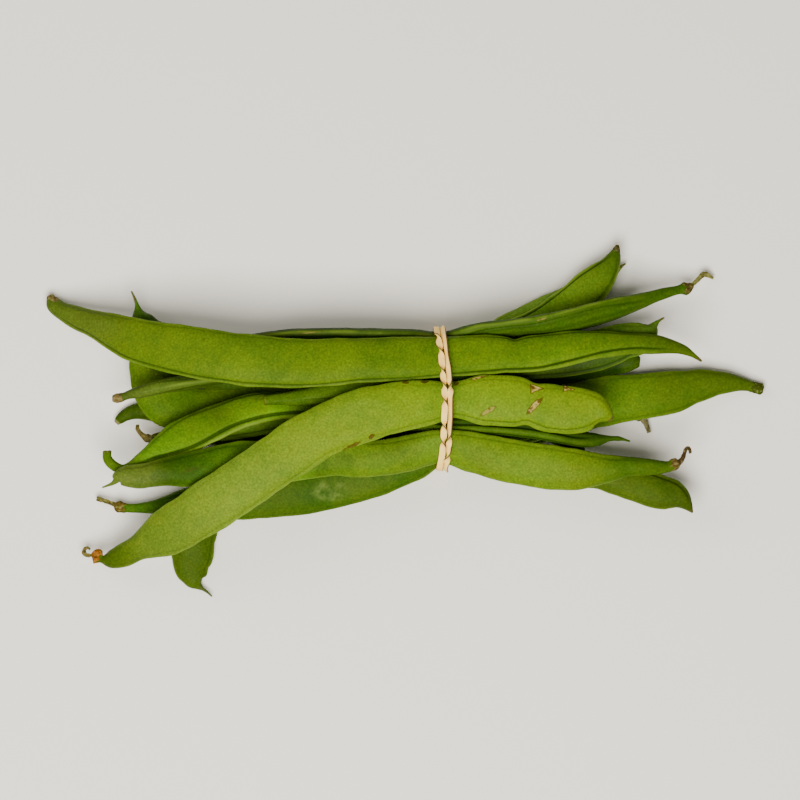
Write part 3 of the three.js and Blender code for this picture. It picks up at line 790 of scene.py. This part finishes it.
class Nodes:
    """Adds nodes to a tree and joins them."""

    def __init__(self, tree):
        self.tree = tree

    def add(self, kind, inputs=(), **values):
        node = self.tree.nodes.new(kind)
        for name, value in values.items():
            setattr(node, name, value)
        for key, value in dict(inputs).items():
            socket = node.inputs[key]
            if isinstance(value, bpy.types.NodeSocket):
                self.tree.links.new(value, socket)
            elif socket.type == "RGBA":
                socket.default_value = (*value, 1)
            else:
                socket.default_value = value
        return node

    def math(self, operation, *values):
        return self.add("ShaderNodeMath", dict(enumerate(values)), operation=operation).outputs[0]

    def times(self, first, second):
        return self.math("MULTIPLY", first, second)

    def plus(self, first, second):
        return self.math("ADD", first, second)

    def minus(self, first, second):
        return self.math("SUBTRACT", first, second)

    def noise(self, vector, scale, detail=2.0, roughness=0.5):
        inputs = {"Vector": vector, "Scale": scale, "Detail": detail, "Roughness": roughness}
        return self.add("ShaderNodeTexNoise", inputs).outputs[0]

    def vector(self, operation, *values):
        inputs = dict(enumerate(values))
        return self.add("ShaderNodeVectorMath", inputs, operation=operation).outputs[0]

    def span(self, value, low, high, to_low=0.0, to_high=1.0):
        inputs = {
            "Value": value, "From Min": low, "From Max": high, "To Min": to_low, "To Max": to_high,
        }
        return self.add("ShaderNodeMapRange", inputs, interpolation_type="SMOOTHSTEP").outputs[0]

    def mix(self, share, first, second):
        inputs = {0: share, 6: first, 7: second}
        return self.add("ShaderNodeMix", inputs, data_type="RGBA").outputs[2]

    def attribute(self, name):
        return self.add("ShaderNodeAttribute", attribute_name=name).outputs["Fac"]


def new_group(name, inputs, outputs):
    """An empty node group, its nodes, its input sockets by name, and its output node."""
    group = bpy.data.node_groups.new(name, "ShaderNodeTree")
    kinds = {"colour": "NodeSocketColor", "number": "NodeSocketFloat", "vector": "NodeSocketVector"}
    for label, kind in inputs:
        group.interface.new_socket(label, in_out="INPUT", socket_type=kinds[kind])
    for label, kind in outputs:
        group.interface.new_socket(label, in_out="OUTPUT", socket_type=kinds[kind])
    nodes = Nodes(group)
    given = nodes.add("NodeGroupInput").outputs
    made = nodes.add("NodeGroupOutput")
    return group, nodes, given, made


def use_group(nodes, group, inputs):
    return nodes.add("ShaderNodeGroup", inputs, node_tree=group).outputs


@functools.cache
def skin_group():
    """The mottled, faintly pored skin of a pod, with painted light and shade along its length."""
    group, n, given, made = new_group(
        "Mottled pod skin",
        [("Vector", "vector"), ("Near", "colour"), ("Far", "colour"), ("Share", "number"),
         ("Light", "number"), ("Contrast", "number"), ("Spots", "number"), ("Fade", "number"),
         ("Fade colour", "colour"), ("Neck", "number"), ("Neck colour", "colour")],
        [("Colour", "colour"), ("Height", "number")],
    )
    place = given["Vector"]
    wide = n.noise(place, PATCH_SCALE, 3, 0.55)
    small = n.noise(place, BLOTCH_SCALE, 4, 0.6)
    grain = n.noise(place, GRAIN_SCALE, 2, 0.6)
    drift = n.plus(given["Share"], n.times(n.minus(wide, 0.5), 0.9))
    body = n.mix(n.span(drift, 0.1, 0.9), given["Near"], given["Far"])
    necked = n.mix(given["Neck"], body, given["Neck colour"])
    base = n.mix(given["Fade"], necked, given["Fade colour"])
    blotch = n.plus(n.times(wide, 0.55), n.times(small, 0.45))
    tone = n.span(blotch, 0.36, 0.64, -1, 1)
    spread = n.times(n.times(tone, given["Contrast"]), 0.14)
    fine = n.times(n.minus(grain, 0.5), 1.9)
    # Light is painted light and shade: it makes the skin lighter and darker along the pod
    value = n.times(given["Light"], n.math("POWER", 2.0, n.plus(spread, fine)))
    turned = n.add(
        "ShaderNodeHueSaturation",
        {"Hue": n.plus(0.5, n.times(tone, -0.01)), "Value": value, "Color": base},
    ).outputs[0]
    cells = n.add("ShaderNodeTexVoronoi", {"Vector": place, "Scale": PORE_SCALE})
    pores = n.minus(1, n.span(cells.outputs["Distance"], 0.06, 0.2))
    dots = n.times(pores, n.span(small, 0.5, 0.7))
    speck = n.mix(n.times(dots, 0.2), turned, srgb(48, 66, 4))
    speckled = n.noise(place, BLOTCH_SCALE, 4, 0.7)
    cluster = n.times(n.span(speckled, 0.5, 0.68), n.span(wide, 0.45, 0.6))
    stained = n.mix(n.times(cluster, given["Spots"]), speck, srgb(44, 66, 6))
    n.tree.links.new(stained, made.inputs["Colour"])
    height = n.plus(n.times(grain, 0.35), n.times(small, 0.65))
    n.tree.links.new(n.minus(height, n.times(dots, 0.2)), made.inputs["Height"])
    return group


@functools.cache
def seam_group():
    """Painted shade in the groove inside a seam, and the pale line on its edge."""
    group, n, given, made = new_group(
        "Pod seams",
        [("Vector", "vector"), ("Colour", "colour"), ("Groove", "number"), ("Rim", "number"),
         ("Rim colour", "colour"), ("Ribs", "number")],
        [("Colour", "colour")],
    )
    patchy = n.span(n.noise(given["Vector"], 130, 2), 0.3, 0.62, 0.35, 1)
    dark = n.mix(0.78, given["Colour"], srgb(18, 40, 0))
    # painted shade: the groove is darkened as if shade lay in it
    groove_shaded = n.mix(n.times(given["Groove"], 0.85), given["Colour"], dark)
    share = n.times(n.times(given["Rim"], patchy), 0.6)
    edged = n.mix(share, groove_shaded, given["Rim colour"])
    ribbed = n.mix(n.times(n.times(given["Ribs"], patchy), 0.55), edged, dark)
    n.tree.links.new(ribbed, made.inputs["Colour"])
    return group


@functools.cache
def dried_group():
    """Dried stem, calyx and beak: brown, streaked and wrinkled."""
    group, n, given, made = new_group(
        "Dried ends",
        [("Vector", "vector"), ("Colour", "colour"), ("Stem", "number"), ("Cup", "number"),
         ("Beak", "number"), ("Stem colour", "colour"), ("Cup colour", "colour"),
         ("Beak colour", "colour")],
        [("Colour", "colour"), ("Height", "number"), ("Dry", "number")],
    )
    streaks = n.noise(given["Vector"], 900, 3, 0.7)
    ragged = n.times(n.minus(streaks, 0.5), 0.6)

    def edge(mask):
        return n.span(n.plus(given[mask], ragged), 0.4, 0.6)

    beak = n.mix(n.times(edge("Beak"), 0.75), given["Colour"], given["Beak colour"])
    cup = n.mix(edge("Cup"), beak, given["Cup colour"])
    stem = n.mix(edge("Stem"), cup, given["Stem colour"])
    dry = n.math("MAXIMUM", given["Stem"], given["Cup"])
    dark = n.times(dry, n.span(streaks, 0.34, 0.56, 0.85, 0))
    darkened = n.mix(dark, stem, srgb(52, 38, 14))
    pale = n.times(dry, n.span(streaks, 0.54, 0.7, 0, 0.6))
    n.tree.links.new(n.mix(pale, darkened, srgb(150, 142, 88)), made.inputs["Colour"])
    n.tree.links.new(n.times(streaks, dry), made.inputs["Height"])
    n.tree.links.new(dry, made.inputs["Dry"])
    return group


@functools.cache
def scar_group():
    """One scar: a ragged patch, round or three-cornered, with a darker outline. It also paints the
    pale highlight streak on pod_back.
    """
    group, n, given, made = new_group(
        "Skin scar",
        [("Vector", "vector"), ("Side", "number"), ("Middle", "vector"), ("Half size", "vector"),
         ("Turn", "number"), ("Corners", "number"), ("Depth", "number"), ("Tan", "number"),
         ("Colour", "colour"), ("Height", "number")],
        [("Colour", "colour"), ("Height", "number")],
    )
    rough = n.add("ShaderNodeTexNoise", {"Vector": given["Vector"], "Scale": 650.0, "Detail": 3.0})
    shift = n.vector("SUBTRACT", rough.outputs["Color"], (0.5, 0.5, 0.5))
    ragged = n.vector("MULTIPLY", shift, (MM, MM, 0))
    placed = n.vector("ADD", n.vector("SUBTRACT", given["Vector"], given["Middle"]), ragged)
    turning = {"Vector": placed, "Angle": n.times(given["Turn"], -1)}
    turned = n.add("ShaderNodeVectorRotate", turning, rotation_type="Z_AXIS").outputs[0]
    scaled = n.vector("DIVIDE", turned, given["Half size"])
    x, y, _ = n.add("ShaderNodeSeparateXYZ", {0: scaled}).outputs
    round_reach = n.math("SQRT", n.plus(n.times(x, x), n.times(y, y)))
    slant = n.plus(n.times(n.math("ABSOLUTE", x), 0.87), n.times(y, 0.5))
    corner_reach = n.plus(n.math("MAXIMUM", slant, n.times(y, -1)), 0.1)
    reach = n.add(
        "ShaderNodeMix", {0: given["Corners"], 2: round_reach, 3: corner_reach}, data_type="FLOAT"
    ).outputs[0]
    facing = n.span(given["Side"], -0.1, 0.1)
    inside = n.times(n.span(reach, 1.12, 0.86), facing)
    core = n.times(n.span(reach, 0.92, 0.6), facing)
    strength = n.times(inside, n.span(given["Depth"], 0, 1, 0.35, 1))
    outlined = n.mix(n.times(strength, 0.85), given["Colour"], srgb(62, 44, 6))
    fill = n.mix(n.span(rough.outputs[0], 0.42, 0.6), srgb(178, 162, 84), srgb(88, 66, 14))
    filled = n.mix(n.times(core, given["Tan"]), outlined, fill)
    n.tree.links.new(filled, made.inputs["Colour"])
    sunk = n.times(core, n.times(given["Depth"], 0.8))
    n.tree.links.new(n.minus(given["Height"], sunk), made.inputs["Height"])
    return group


def new_material(name):
    material = bpy.data.materials.new(name)
    material.use_nodes = True
    material.node_tree.nodes.clear()
    return material, Nodes(material.node_tree)


def finish_material(n, colour, roughness, height, relief, **constants):
    """The surface itself, with its shader, relief and output."""
    shape = {"Strength": relief, "Distance": BUMP_DEPTH, "Height": height}
    bump = n.add("ShaderNodeBump", shape).outputs[0]
    surface = {"Base Color": colour, "Roughness": roughness, "Normal": bump}
    shader = n.add("ShaderNodeBsdfPrincipled", surface)
    for name, value in constants.items():
        shader.inputs[name.replace("_", " ")].default_value = value
    n.add("ShaderNodeOutputMaterial", {"Surface": shader.outputs[0]})


def pod_material(node, look, settings):
    material, n = new_material("skin of " + node.replace("_", " "))
    place = n.add("ShaderNodeTexCoord").outputs["Object"]
    own = n.add("ShaderNodeMapping", {"Vector": place, "Location": look["offset"]}).outputs[0]
    skin = use_group(n, skin_group(), {
        "Vector": own, "Near": srgb(*look["near"]), "Far": srgb(*look["far"]),
        "Share": n.attribute("share"), "Light": n.attribute("light"), "Contrast": 1.0,
        "Spots": look.get("spots", 0.12),
        "Fade": n.attribute("fade"), "Fade colour": srgb(*look.get("fade_colour", look["far"])),
        "Neck": n.attribute("neck"), "Neck colour": srgb(*look.get("neck_colour", look["near"])),
    })
    seams = use_group(n, seam_group(), {
        "Vector": own, "Colour": skin["Colour"], "Groove": n.attribute("groove"),
        "Rim": n.attribute("rim"), "Rim colour": tuple(settings.rim_tint),
        "Ribs": n.attribute("ribs"),
    })
    colour, height = seams["Colour"], skin["Height"]
    if look.get("bloom"):
        about = {"Vector": place, "Location": BLOOM_SHIFT, "Scale": BLOOM_STRETCH}
        spot = n.add("ShaderNodeMapping", about).outputs[0]
        reach = n.add("ShaderNodeVectorMath", {0: spot}, operation="LENGTH").outputs["Value"]
        patchy = n.span(n.noise(place, 350, 4), 0.36, 0.66)
        share = n.times(n.span(reach, BLOOM_EDGE, BLOOM_CORE), patchy)
        colour = n.mix(n.times(share, 0.3), colour, srgb(126, 146, 66))
    side = n.attribute("side")
    for pod, x, y, wide, deep, turn, corners, depth, tan in SCARS:
        if pod == node:
            scar = use_group(n, scar_group(), {
                "Vector": place, "Side": side, "Middle": (x * MM, y * MM, 0),
                "Half size": (wide * MM, deep * MM, 1e3), "Turn": math.radians(turn),
                "Corners": corners, "Depth": depth, "Tan": tan, "Colour": colour, "Height": height,
            })
            colour, height = scar["Colour"], scar["Height"]
    dried = use_group(n, dried_group(), {
        "Vector": own, "Colour": colour, "Stem": n.attribute("stem"), "Cup": n.attribute("cup"),
        "Beak": n.attribute("beak"), "Stem colour": srgb(*look.get("stem_colour", (92, 76, 46))),
        "Cup colour": srgb(*look.get("cup_colour", (88, 72, 44))),
        "Beak colour": srgb(*look.get("beak_colour", (75, 66, 32))),
    })
    roughness = n.span(dried["Dry"], 0, 1, 0.52, 0.85)
    relief = n.plus(height, dried["Height"])
    finish_material(n, dried["Colour"], roughness, relief, 0.35, Specular_IOR_Level=0.05)
    return material


def band_material(settings):
    material, n = new_material("natural rubber")
    place = n.add("ShaderNodeTexCoord").outputs["Object"]
    streak = n.attribute("streak")
    drawn_out = n.times(n.attribute("share"), 40)
    lines = n.add("ShaderNodeCombineXYZ", {0: n.times(streak, 3), 1: drawn_out}).outputs[0]
    drawn = n.noise(lines, 1.6, 3, 0.6)
    cloud = n.noise(place, 240, 3, 0.6)
    tone = n.plus(n.times(drawn, 0.6), n.times(cloud, 0.4))
    light = n.mix(n.span(tone, 0.35, 0.65), tuple(settings.colour), srgb(255, 222, 124))
    # the strand's sides are darkened brown: partly painted shade on its sides, partly the rubber's
    # darker edges
    side_tint_and_shade = n.span(n.math("ABSOLUTE", streak), 0.8, 0.98, 0, 0.95)
    colour = n.mix(side_tint_and_shade, light, srgb(64, 42, 16))
    finish_material(n, colour, 0.55, tone, 0.3, Specular_IOR_Level=0.35)
    return material


# ---- The operators


class BEANS_OT_add_pod(bpy.types.Operator):
    """Add one bean pod, grown from the rings of its solid"""

    bl_idname = "beans.add_pod"
    bl_label = "Add bean pod"
    bl_options = {"REGISTER", "UNDO"}

    pod: bpy.props.StringProperty(
        name="Pod", description="Which pod of the bunch", default="pod_crest"
    )

    def execute(self, context):
        settings = context.scene.bean_pods
        look = dict(PODS[self.pod])
        number = list(PODS).index(self.pod)
        chance = random.Random(700 + number)
        look["offset"] = tuple(chance.uniform(-1, 1) for _ in range(3))
        piece, length = pod_cage(self.pod, look)
        apply_subdivision(piece, settings.smoothing)
        turn_outward(piece)
        shape_pod(piece, length, look, settings, chance)
        make_active(piece)
        bpy.ops.object.shade_smooth()
        piece.data.materials.append(pod_material(self.pod, look, settings))
        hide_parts(self.pod)
        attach(piece, "root")
        return {"FINISHED"}


class BEANS_OT_add_band(bpy.types.Operator):
    """Add the rubber band, one loop wound twice round the waist of the bunch"""

    bl_idname = "beans.add_band"
    bl_label = "Add rubber band"
    bl_options = {"REGISTER", "UNDO"}

    def execute(self, context):
        settings = context.scene.bean_band
        piece = build_band(settings)
        make_active(piece)
        bpy.ops.object.shade_smooth()
        piece.data.materials.append(band_material(settings))
        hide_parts("rubber_band")
        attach(piece, "root")
        return {"FINISHED"}


class BEANS_OT_set_stage(bpy.types.Operator):
    """Add the pale table, the soft lamps and the camera that looks straight down"""

    bl_idname = "beans.set_stage"
    bl_label = "Set the stage"
    bl_options = {"REGISTER", "UNDO"}

    def lamp(self, name, place, size, power):
        bpy.ops.object.light_add(type="AREA", location=place)
        lamp = bpy.context.active_object
        lamp.name = name
        lamp.data.size = size
        lamp.data.energy = power
        lamp.data.color = LAMP_COLOUR
        lamp.rotation_euler = (-Vector(place)).to_track_quat("-Z", "Y").to_euler()

    def execute(self, context):
        settings = context.scene.bean_studio
        deselect()
        bpy.ops.mesh.primitive_plane_add(size=4, location=(0, 0, -FLOOR_DROP))
        floor = context.active_object
        floor.name = "table_top"
        material, n = new_material("pale table")
        place = n.add("ShaderNodeTexCoord").outputs["Object"]
        fleck = n.noise(place, 900, 2)
        colour = tuple(settings.floor_colour)
        shaded = n.mix(n.span(fleck, 0.3, 0.7, 0, 0.05), colour, tuple(c * 0.9 for c in colour))
        finish_material(n, shaded, 0.9, fleck, 0.05)
        floor.data.materials.append(material)

        world = bpy.data.worlds.new("soft room")
        world.use_nodes = True
        room = world.node_tree.nodes["Background"]
        room.inputs["Color"].default_value = ROOM_COLOUR
        room.inputs["Strength"].default_value = ROOM_STRENGTH
        context.scene.world = world
        self.lamp("lamp_above", (-0.1, -0.5, 1.2), 0.8, settings.lamp_power)
        self.lamp("lamp_side", (-0.9, 0.5, 0.9), 0.7, settings.lamp_power * 0.2)

        bpy.ops.object.camera_add()
        camera = context.active_object
        camera.name = "camera_above"
        camera.data.lens = LENS
        camera.data.sensor_width = SENSOR
        away = settings.view_width * LENS / SENSOR
        camera.location = Vector(settings.view_middle) + Vector((0, 0, away))
        camera.rotation_euler = (0, 0, 0)
        camera.data.clip_start = 0.05
        camera.data.clip_end = 20
        context.scene.camera = camera
        return {"FINISHED"}


class BEANS_PT_panel(bpy.types.Panel):
    bl_idname = "BEANS_PT_panel"
    bl_label = "Bean bunch"
    bl_space_type = "VIEW_3D"
    bl_region_type = "UI"
    bl_category = "Beans"

    def draw(self, context):
        layout = self.layout
        scene = context.scene
        for settings in (scene.bean_pods, scene.bean_band, scene.bean_studio):
            box = layout.box()
            for name in settings.__annotations__:
                box.prop(settings, name)
        for pod in PODS:
            layout.operator("beans.add_pod", text="Add " + pod.replace("_", " ")).pod = pod
        layout.operator("beans.add_band")
        layout.operator("beans.set_stage")


CLASSES = (
    BeanPodSettings,
    RubberBandSettings,
    BeanStudioSettings,
    BEANS_OT_add_pod,
    BEANS_OT_add_band,
    BEANS_OT_set_stage,
    BEANS_PT_panel,
)


def register():
    for item in CLASSES:
        bpy.utils.register_class(item)
    bpy.types.Scene.bean_pods = bpy.props.PointerProperty(type=BeanPodSettings)
    bpy.types.Scene.bean_band = bpy.props.PointerProperty(type=RubberBandSettings)
    bpy.types.Scene.bean_studio = bpy.props.PointerProperty(type=BeanStudioSettings)


def unregister():
    del bpy.types.Scene.bean_pods
    del bpy.types.Scene.bean_band
    del bpy.types.Scene.bean_studio
    for item in reversed(CLASSES):
        bpy.utils.unregister_class(item)


def main():
    register()
    bpy.ops.beans.set_stage()
    for pod in PODS:
        bpy.ops.beans.add_pod(pod=pod)
    bpy.ops.beans.add_band()
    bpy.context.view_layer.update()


if __name__ == "__main__":
    main()
